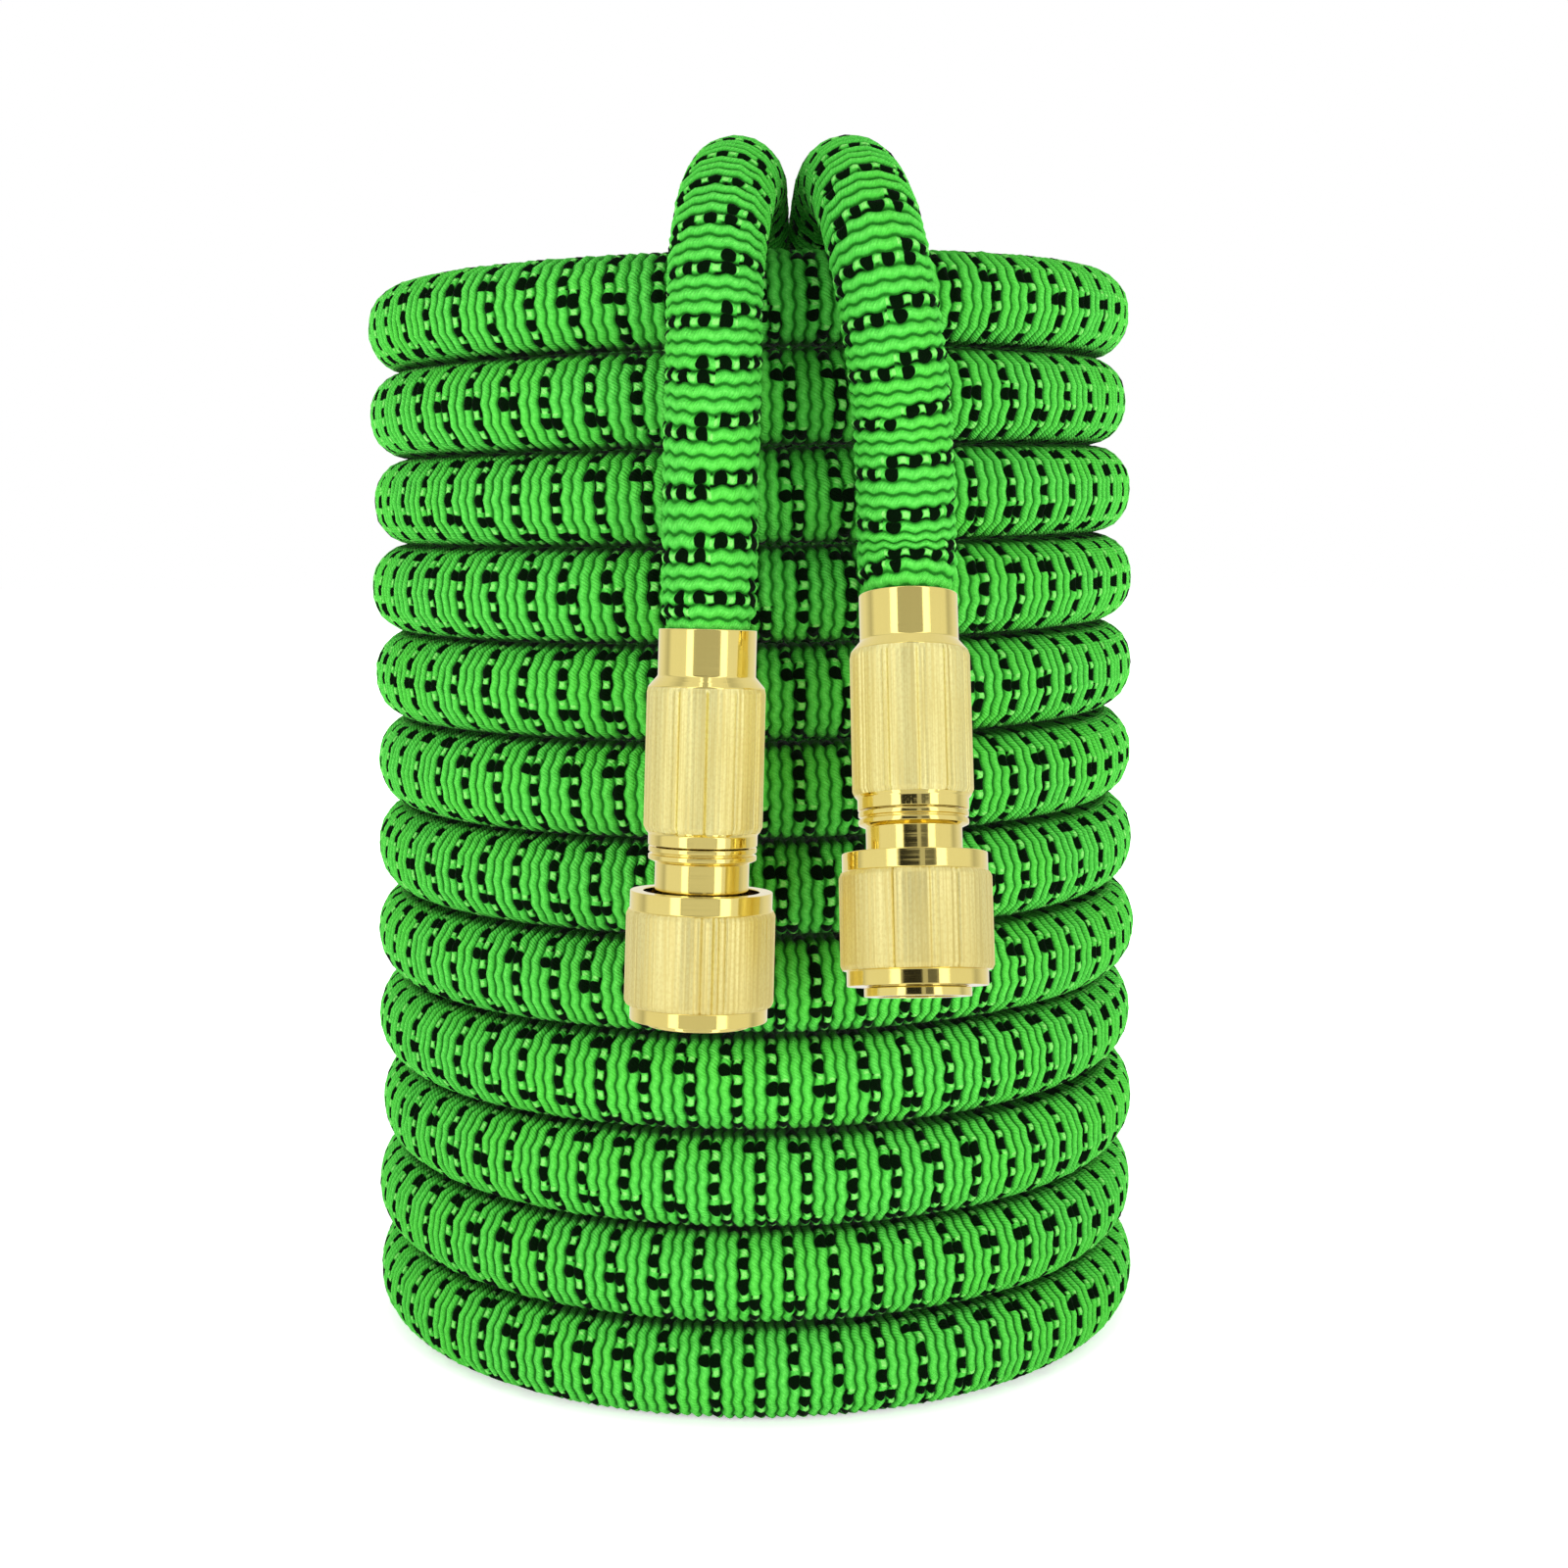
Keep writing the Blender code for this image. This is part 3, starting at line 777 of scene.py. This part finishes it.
def rounded(section):
    """A closed outline with its corners turned into small arcs."""
    points = [Vector(p) for p in section]
    found = []
    for i, corner in enumerate(points):
        before = points[i - 1] - corner
        after = points[(i + 1) % len(points)] - corner
        cut = min(CORNER_RADIUS, before.length * CORNER_SHARE, after.length * CORNER_SHARE)
        start = corner + before.normalized() * cut
        end = corner + after.normalized() * cut
        for k in range(CORNER_STEPS):
            t = k / (CORNER_STEPS - 1)
            found.append((1 - t) ** 2 * start + 2 * t * (1 - t) * corner + t ** 2 * end)
    return found


def flutes(radius, groups):
    """Angles round a knurled grip, and how deep the grip is cut at each.

    groups are the stretches of deeper grooves, in degrees to the right of the front.
    """
    count = round(math.tau * radius / FLUTE_PITCH)
    step = math.tau / count
    angles, cuts = [], []
    for i in range(count):
        groove = draw.uniform(*FLUTE_WIDTHS)
        # Degrees to the right of the front, which is at -90, from -180 to 180
        from_front = (math.degrees(i * step) + 90 + 180) % 360 - 180
        grouped = any(low < from_front < high for low, high in groups)
        depth = FLUTE_DEPTH * draw.uniform(*FLUTE_DEPTHS) * (GROUP_DEPTH if grouped else 1)
        jitter = draw.uniform(-FLUTE_SHIFT, FLUTE_SHIFT)
        for place, cut in ((0, 0), (0.5 - groove, LAND_CUT), (0.5, 1.0), (0.5 + groove, LAND_CUT)):
            angle = (i + place + jitter * (place > 0)) * step
            angles.append(angle)
            cuts.append(cut * depth + FACET_DEPTH * (1 + math.cos(FACETS * angle)) / 2)
    return np.array(angles), np.array(cuts)


def turned_points(outline, grip, groups):
    """Angles round the axis, and the outline's points at each of them."""
    if grip:
        radius, top, bottom = grip
        angles, cuts = flutes(radius, groups)
        inside = ((outline[:, 0] > radius - CUT_REACH) & (outline[:, 1] < top + HAIR)
                  & (outline[:, 1] > bottom - HAIR))
    else:
        angles = np.arange(PLAIN_SIDES) * math.tau / PLAIN_SIDES
        cuts = np.zeros(PLAIN_SIDES)
        inside = np.zeros(len(outline), bool)
    radius = outline[:, 0][:, None] - np.outer(inside, cuts)
    height = np.repeat(outline[:, 1][:, None], len(angles), axis=1)
    points = np.stack([radius * np.cos(angles), radius * np.sin(angles), height], axis=2)
    return angles, points


def turned(name, section, pose, finishes, finish_at, grip=None, groups=()):
    """A closed section of (radius, height) points turned about the fitting's axis.

    grip is the radius, top and bottom of a knurled stretch.
    """
    outline = np.array([tuple(p) for p in rounded(section)])
    angles, points = turned_points(outline, grip, groups)
    rings, sides = points.shape[:2]
    ring, side = grid(rings, sides)
    onward, beside = (ring + 1) % rings, (side + 1) % sides
    quads = np.stack([ring * sides + side, onward * sides + side,
                      onward * sides + beside, ring * sides + beside], axis=1)
    mesh = bpy.data.meshes.new(name)
    mesh.from_pydata(points.reshape(-1, 3).tolist(), [], quads.tolist())
    around = np.append(angles, math.tau) * outline[:, 0].max()
    length = np.concatenate([[0], np.cumsum(np.linalg.norm(
        np.diff(np.vstack([outline, outline[:1]]), axis=0), axis=1))])
    add_map(mesh, "turned",
            np.stack([around[side], around[side], around[side + 1], around[side + 1]], axis=1),
            np.stack([length[ring], length[ring + 1], length[ring + 1], length[ring]], axis=1))
    for finish in finishes:
        mesh.materials.append(finish)
    middle = (outline + np.roll(outline, -1, axis=0)) / 2
    index = np.array([finish_at(r, z) for r, z in middle], dtype=np.int32)
    mesh.polygons.foreach_set("material_index", index[ring])
    mesh.shade_smooth()
    mesh.set_sharp_from_angle(angle=SHARP_ANGLE)
    mesh.transform(Matrix.Translation(AXIS) @ pose)
    made = linked(name, mesh)
    even = made.modifiers.new("flats_stay_flat", "WEIGHTED_NORMAL")
    even.keep_sharp = True
    return made


def nut_section():
    """Half of the clamp nut's section, as (radius, height) from its top."""
    bore = NECK_DIAMETER / 2 + SEAT_GAP
    shoulder = FERRULE_LENGTH + SHOULDER_LENGTH
    grip_end = shoulder + NUT_GRIP_LENGTH
    thread = THREAD_RADIUS + SEAT_GAP
    bevel = NUT_GRIP_RADIUS - BEVEL_DEPTH
    return [
        (bore, 0), (FERRULE_RADIUS, 0), (FERRULE_RADIUS, -FERRULE_LENGTH),
        (bevel, -shoulder + SHOULDER_RISE), (NUT_GRIP_RADIUS, -shoulder - SHOULDER_BEVEL),
        (NUT_GRIP_RADIUS, -grip_end + BEVEL_END), (bevel, -grip_end + BEVEL_START),
        (NUT_BAND_RADIUS, -grip_end - BAND_STEP),
        (NUT_BAND_RADIUS, -NUT_LENGTH), (thread, -NUT_LENGTH),
        (thread, -NUT_LENGTH + THREAD_LENGTH), (bore, -NUT_LENGTH + THREAD_LENGTH),
    ]


def body_section(neck_length, nose_length):
    """Half of the connector body's section, with its thread, groove, neck and socket."""
    top = NUT_LENGTH + SEAT_GAP
    low = top + BODY_BAND_LENGTH
    ring = BODY_BAND_RADIUS - GROOVE_DEPTH
    nose = NECK_START + neck_length + COLLAR_LENGTH + SEAT_GAP
    end = nose + nose_length
    socket_end = end - SOCKET_DEPTH
    return [
        (WATERWAY_RADIUS, -NUT_LENGTH + THREAD_LENGTH - SEAT_GAP),
        (THREAD_RADIUS, -NUT_LENGTH + THREAD_LENGTH - SEAT_GAP),
        (THREAD_RADIUS, -top), (BODY_BAND_RADIUS, -top), (BODY_BAND_RADIUS, -low),
        (ring, -low), (ring, -low - GROOVE_LENGTH),
        (BODY_BAND_RADIUS, -low - GROOVE_LENGTH), (BODY_BAND_RADIUS, -NECK_START),
        (NECK_RADIUS, -NECK_START - NECK_STEP), (NECK_RADIUS, -nose),
        (NOSE_RADIUS, -nose), (NOSE_RADIUS, -end), (SOCKET_RADIUS, -end),
        (SOCKET_RADIUS, -socket_end),
        (WATERWAY_RADIUS, -socket_end + SOCKET_RADIUS - WATERWAY_RADIUS),
    ]


def collar_section(start):
    """Half of the lock collar's section, with the recess in its top."""
    grip_start = start + RIM_LENGTH
    grip_end = grip_start + GRIP_LENGTH
    end = start + COLLAR_LENGTH
    bore = NECK_RADIUS + CLEARANCE
    bevel = GRIP_RADIUS - BEVEL_DEPTH
    return [
        (RECESS_RADIUS, -start), (RIM_RADIUS, -start),
        (RIM_RADIUS, -grip_start), (bevel, -grip_start - BEVEL_START),
        (GRIP_RADIUS, -grip_start - BEVEL_END), (GRIP_RADIUS, -grip_end + BEVEL_END),
        (bevel, -grip_end + BEVEL_START), (FOOT_RADIUS, -grip_end),
        (FOOT_RADIUS, -end), (bore, -end),
        (bore, -start - RECESS_DEPTH), (RECESS_RADIUS, -start - RECESS_DEPTH),
    ]


def fitting(side, pose, lengths, groups, finishes):
    """Clamp nut, connector body and lock collar, each for the CAD node of its name."""
    polished, nut_finish, collar_finish = finishes
    neck_length, nose_length = lengths
    collar_start = NECK_START + neck_length
    grip_top = -FERRULE_LENGTH - SHOULDER_LENGTH
    nut_grip = (NUT_GRIP_RADIUS, grip_top, grip_top - NUT_GRIP_LENGTH)
    collar_top = -collar_start - RIM_LENGTH
    collar_grip = (GRIP_RADIUS, collar_top, collar_top - GRIP_LENGTH)
    nut = turned(side + "_nut", nut_section(), pose, (polished, nut_finish),
                 lambda r, z: int(r > NUT_BAND_RADIUS + FINISH_EDGE
                                  and nut_grip[2] < z < nut_grip[1]),
                 nut_grip, NUT_GROUPS)
    body = turned(side + "_body", body_section(neck_length, nose_length), pose, (polished,),
                  lambda r, z: 0)
    collar = turned(side + "_collar", collar_section(collar_start), pose,
                    (polished, collar_finish),
                    lambda r, z: int(r > RIM_RADIUS + FINISH_EDGE), collar_grip, groups)
    for piece, node, slot, rides in (
            (nut, side + "_clamp_nut", "clamp_nut_brass", "hose"),
            (body, side + "_connector_body", "connector_body_brass", "hose"),
            (collar, side + "_lock_collar", "lock_collar_brass", side + "_collar")):
        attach(piece, rides)
        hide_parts(node)
    return nut, body, collar


# Hose

def hose(poses, fittings):
    """The jacket's pieces, each going on from the one before."""
    dense, along, coil_start, coil_end = hose_route(*poses)
    u, where, middle, points = jacket_rings(dense, along, coil_start, coil_end)
    middle += AXIS
    points += AXIS
    top_turn = float(u[np.searchsorted(where, coil_end - math.tau * COIL_RADIUS)])
    # Two copies of the weave: the coil's has shade painted where its turns touch, the ends' has
    # none
    end_finish = jacket_material("woven_jacket_end")
    coil_finish_painted_shade = jacket_material("woven_jacket_coil_painted_shade", top_turn)
    # Piece, the CAD node that it stands for, its material, and the fitting that it ends in
    plan = [("jacket_left_end", "hose_end_left", end_finish, fittings[0]),
            *((f"jacket_coil_{i + 1}", "hose_coil", coil_finish_painted_shade, ()) for i in range(COIL_PIECES)),
            ("jacket_right_end", "hose_end_right", end_finish, fittings[1])]
    per_rib = len(RIB_PROFILE)
    cuts = [0, *np.linspace(coil_start, coil_end, COIL_PIECES + 1), along[-1]]
    rings = [round(int(np.searchsorted(where, cut)) / per_rib) * per_rib for cut in cuts]
    rings[-1] = len(u) - 1
    for (name, node, finish, joined), first, last in zip(plan, rings, rings[1:]):
        piece = jacket_piece(name, u[first:last + 1], points[first:last + 1])
        piece.data.materials.append(finish)
        piece.visible_glossy = False
        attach(piece, "hose")
        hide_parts(node)


# Studio

def camera():
    """The photograph's view."""
    data = bpy.data.cameras.new("camera")
    data.lens = CAMERA_LENS
    data.sensor_width = CAMERA_SENSOR
    data.shift_x, data.shift_y = CAMERA_SHIFT
    data.clip_start = 0.01
    made = linked("camera", data)
    made.location = AXIS + Vector((0, -CAMERA_DISTANCE, CAMERA_HEIGHT))
    made.rotation_euler = (math.pi / 2 - CAMERA_PITCH, 0, 0)
    bpy.context.scene.camera = made


def area_light(name, place, target, side, power):
    """A square lamp that metal doesn't mirror: metal sees the tent."""
    data = bpy.data.lights.new(name, "AREA")
    data.shape = "SQUARE"
    data.size = side
    data.energy = power
    made = linked(name, data)
    made.visible_glossy = False
    made.location = place
    made.rotation_euler = (target - place).to_track_quat("-Z", "Y").to_euler()


def tent_level(n, aside):
    """The tent's brightness by the angle from the camera's side."""
    ramp = n.add("ShaderNodeValToRGB")
    n.feed(ramp.inputs[0], n.math("DIVIDE", aside, 180.0))
    stops = ramp.color_ramp.elements
    for place, level in TENT[1:-1]:
        stops.new(place / 180)
    for stop, (place, level) in zip(stops, TENT):
        stop.position = place / 180
        stop.color = (level / STRIP_LEVEL, level / STRIP_LEVEL, level / STRIP_LEVEL, 1)
    return n.times(ramp.outputs[0], STRIP_LEVEL)


def world():
    """White behind the object.  Metal sees a light tent with two strips and a darker middle.

    A dark shape stands in the middle, a little above eye level, with a light gap in it.
    """
    made = bpy.data.worlds.new("studio")
    bpy.context.scene.world = made
    made.use_nodes = True
    n = Nodes(made.node_tree)
    direction = n.add("ShaderNodeSeparateXYZ")
    n.feed(direction.inputs[0], n.add("ShaderNodeTexCoord").outputs["Generated"])
    x, y, z = direction.outputs
    degrees = n.times(n.math("ARCTAN2", x, n.times(y, -1.0)), 180 / math.pi)
    aside = n.math("ABSOLUTE", degrees)
    tent = tent_level(n, aside)
    inside = n.span(aside, *SHAPE_SIDES, 1.0, 0.0)
    low = n.times(inside, n.span(z, *LOW_HEIGHTS, LOW_LIFT, 0.0))
    gap = n.times(n.span(degrees, *GAP_LEFT), n.span(degrees, *GAP_RIGHT, 1.0, 0.0))
    beside = n.times(n.span(degrees, *BESIDE_GAP), BESIDE_LIGHT)
    shape = n.times(inside, n.times(n.span(z, *SHAPE_FOOT), n.span(z, *SHAPE_TOP, 1.0, 0.0)))
    shape = n.times(shape, n.minus(SHAPE_DARKNESS, n.math("MAXIMUM", gap, beside)))
    tent = n.times(n.plus(tent, low), n.minus(1.0, shape))
    path = n.add("ShaderNodeLightPath")
    fill = n.span(z, 0.0, 1.0, FILL_LEVEL, FILL_LEVEL * FILL_RISE)
    light = n.mix(path.outputs["Is Glossy Ray"], fill, tent)
    light = n.mix(path.outputs["Is Camera Ray"], light, (1, 1, 1, 1))
    n.feed(n.tree.nodes["Background"].inputs["Color"], light)


def floor_material():
    """Pale, and glowing with distance until it is as white as the background."""
    n = Surface("pale_floor")
    u, v = n.map("spread")
    away = n.math("SQRT", n.plus(n.times(u, u), n.times(v, v)))
    n.shader.inputs["Base Color"].default_value = FLOOR_COLOUR
    n.shader.inputs["Roughness"].default_value = 0.9
    n.shader.inputs["Specular IOR Level"].default_value = 0.0
    n.shader.inputs["Emission Color"].default_value = (1, 1, 1, 1)
    n.feed(n.shader.inputs["Emission Strength"], n.span(away, *GLOW_REACH, *FLOOR_GLOW))
    return n.material


def floor():
    """White far away, and softly shaded near the coil."""
    across = np.arange(-FLOOR_REACH, FLOOR_REACH + FLOOR_TILE / 2, FLOOR_TILE)
    back = np.arange(FLOOR_FRONT, FLOOR_REACH + FLOOR_TILE / 2, FLOOR_TILE)
    x, y = np.meshgrid(across, back)
    vertices = np.stack([x, y, np.zeros_like(x)], axis=2).reshape(-1, 3)
    columns = len(across)
    row, column = grid(len(back) - 1, columns - 1)
    first = row * columns + column
    quads = np.stack([first, first + 1, first + columns + 1, first + columns], axis=1)
    mesh = bpy.data.meshes.new("floor")
    mesh.from_pydata(vertices.tolist(), [], quads.tolist())
    add_map(mesh, "spread", vertices[quads, 0], vertices[quads, 1])
    mesh.materials.append(floor_material())
    made = linked("floor", mesh)
    made.visible_glossy = False


camera()
finishes = (
    brass_material("polished_brass", POLISHED_COLOUR, roughness=0.08, streak=0.05, lathe=0.5),
    brass_material("brushed_nut", NUT_COLOUR, roughness=0.48, streak=0.7, lathe=0.15),
    brass_material("brushed_collar", COLLAR_COLOUR, roughness=0.46, streak=0.7, lathe=0.15),
)
left_pose = placed(LEFT_PLACE, LEFT_TURN)
right_pose = placed(RIGHT_PLACE, RIGHT_TURN)
left_pieces = fitting("left", left_pose, LEFT_LENGTHS, LEFT_GROUPS, finishes)
right_pieces = fitting("right", right_pose, RIGHT_LENGTHS, RIGHT_GROUPS, finishes)
hose((left_pose, right_pose), (left_pieces, right_pieces))
floor()
world()
for name, place, side, power in LIGHTS:
    area_light(name, AXIS + Vector(place), AXIS + Vector(LIGHT_AIM), side, power)
bpy.context.scene.view_settings.view_transform = "Standard"
